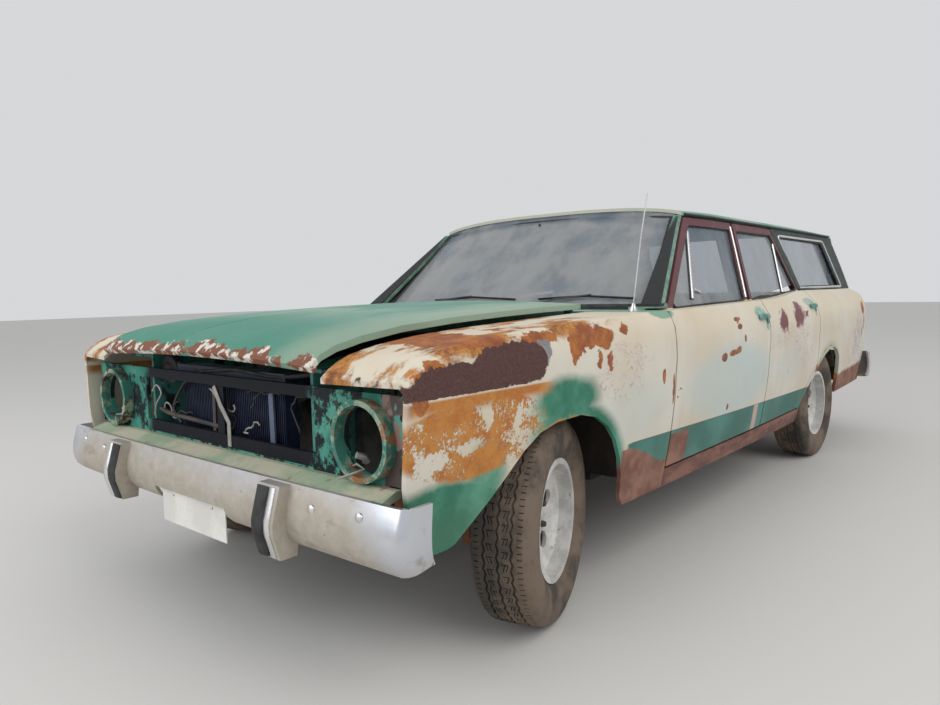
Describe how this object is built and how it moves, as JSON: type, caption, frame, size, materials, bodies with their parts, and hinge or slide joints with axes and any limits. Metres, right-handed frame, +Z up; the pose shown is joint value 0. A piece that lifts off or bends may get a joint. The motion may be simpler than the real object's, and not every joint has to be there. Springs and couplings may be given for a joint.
{
  "type": "weathered station wagon without grille and headlamps",
  "caption": "Rusty, faded station wagon standing on its tyres, with its grille and headlamps missing and its doors, lids, wheels and steering movable.",
  "frame": {"origin": "on the ground under the middle of the car", "axes": "+X forward, +Y to the car's left, +Z up"},
  "size_m": [4.7425, 1.856, 1.417],
  "materials": {
    "cream_paint": "faded cream paint with rust, primer and filler patches",
    "green_paint": "chalky faded green paint",
    "rusty_steel": "brown surface rust",
    "cast_metal": "oily and dusty",
    "radiator_core": "dark, matt",
    "bumper_chrome": "dull, pitted and dusty",
    "rim_paint": "worn silver paint",
    "tyre_rubber": "dusty brown-black",
    "window_glass": "clear under a film of dust",
    "black_plastic": "matt, dusty",
    "seat_vinyl": "cracked vinyl",
    "plate_paint": "blank, faded and slightly bent"
  },
  "bodies": {
    "body": {"floor_pan": "rusty_steel", "pillars_and_sills": "cream_paint", "left_quarter_panel": "cream_paint", "right_quarter_panel": "cream_paint", "roof_panel": "green_paint", "cowl_and_firewall": "green_paint", "left_front_wing": "cream_paint", "right_front_wing": "cream_paint", "inner_aprons": "green_paint", "radiator_support": "green_paint", "radiator": "radiator_core", "engine_block": "cast_metal", "front_valance": "green_paint", "front_bumper": "bumper_chrome", "number_plate": "plate_paint", "rear_bumper": "bumper_chrome", "fixed_glass": "window_glass", "dashboard": "black_plastic", "bench_seats": "seat_vinyl", "front_suspension": "rusty_steel", "rear_axle": "rusty_steel", "driveline": "cast_metal", "exhaust": "rusty_steel", "fuel_tank": "rusty_steel"},
    "bonnet": {"bonnet": "green_paint"},
    "tailgate": {"tailgate": "cream_paint", "tailgate_glass": "window_glass"},
    "steering_wheel": {"steering_wheel": "black_plastic"},
    "left_knuckle": {"left_knuckle": "rusty_steel"},
    "right_knuckle": {"right_knuckle": "rusty_steel"},
    "left_front_door": {"left_front_door": "cream_paint", "left_front_glass": "window_glass"},
    "left_front_wheel": {"left_front_tyre": "tyre_rubber", "left_front_rim": "rim_paint"},
    "left_rear_door": {"left_rear_door": "cream_paint", "left_rear_glass": "window_glass"},
    "left_rear_wheel": {"left_rear_tyre": "tyre_rubber", "left_rear_rim": "rim_paint"},
    "right_front_door": {"right_front_door": "cream_paint", "right_front_glass": "window_glass"},
    "right_front_wheel": {"right_front_tyre": "tyre_rubber", "right_front_rim": "rim_paint"},
    "right_rear_door": {"right_rear_door": "cream_paint", "right_rear_glass": "window_glass"},
    "right_rear_wheel": {"right_rear_tyre": "tyre_rubber", "right_rear_rim": "rim_paint"}
  },
  "joints": [
    {"name": "left_front_door_hinge", "type": "hinge", "parent": "body", "child": "left_front_door", "pos_m": [0.913, 0.91, 0.65], "axis": [0, 0, -1], "range_deg": [0, 67]},
    {"name": "left_rear_door_hinge", "type": "hinge", "parent": "body", "child": "left_rear_door", "pos_m": [-0.085, 0.915, 0.65], "axis": [0, 0, -1], "range_deg": [0, 65]},
    {"name": "left_steer", "type": "hinge", "parent": "body", "child": "left_knuckle", "pos_m": [1.622, 0.655, 0.318], "axis": [0, 0, 1], "range_deg": [-49, 15]},
    {"name": "left_front_wheel_spin", "type": "hinge", "parent": "left_knuckle", "child": "left_front_wheel", "pos_m": [1.59364, 0.74776, 0.318], "axis": [-0.2924, 0.9563, 0], "continuous": true},
    {"name": "left_rear_wheel_spin", "type": "hinge", "parent": "body", "child": "left_rear_wheel", "pos_m": [-1.197, 0.752, 0.318], "axis": [0, 1, 0], "continuous": true},
    {"name": "right_front_door_hinge", "type": "hinge", "parent": "body", "child": "right_front_door", "pos_m": [0.913, -0.91, 0.65], "axis": [0, 0, 1], "range_deg": [0, 67]},
    {"name": "right_rear_door_hinge", "type": "hinge", "parent": "body", "child": "right_rear_door", "pos_m": [-0.085, -0.915, 0.65], "axis": [0, 0, 1], "range_deg": [0, 65]},
    {"name": "right_steer", "type": "hinge", "parent": "body", "child": "right_knuckle", "pos_m": [1.622, -0.655, 0.318], "axis": [0, 0, 1], "range_deg": [-49, 15]},
    {"name": "right_front_wheel_spin", "type": "hinge", "parent": "right_knuckle", "child": "right_front_wheel", "pos_m": [1.65036, -0.74776, 0.318], "axis": [-0.2924, 0.9563, 0], "continuous": true},
    {"name": "right_rear_wheel_spin", "type": "hinge", "parent": "body", "child": "right_rear_wheel", "pos_m": [-1.197, -0.752, 0.318], "axis": [0, 1, 0], "continuous": true},
    {"name": "bonnet_hinge", "type": "hinge", "parent": "body", "child": "bonnet", "pos_m": [1.094, 0, 0.9462], "axis": [0, -1, 0], "range_deg": [-1.8, 50]},
    {"name": "tailgate_hinge", "type": "hinge", "parent": "body", "child": "tailgate", "pos_m": [-2.278, 0, 0.5567], "axis": [0, -1, 0], "range_deg": [0, 90]},
    {"name": "steering_wheel_turn", "type": "hinge", "parent": "body", "child": "steering_wheel", "pos_m": [0.47, -0.37, 0.858], "axis": [-0.8829, 0, 0.4695], "range_deg": [-784.1, 240.1]}
  ],
  "couplings": [
    {"joint": "right_steer", "follows": "left_steer", "ratio": 1},
    {"joint": "steering_wheel_turn", "follows": "left_steer", "ratio": 16}
  ]
}
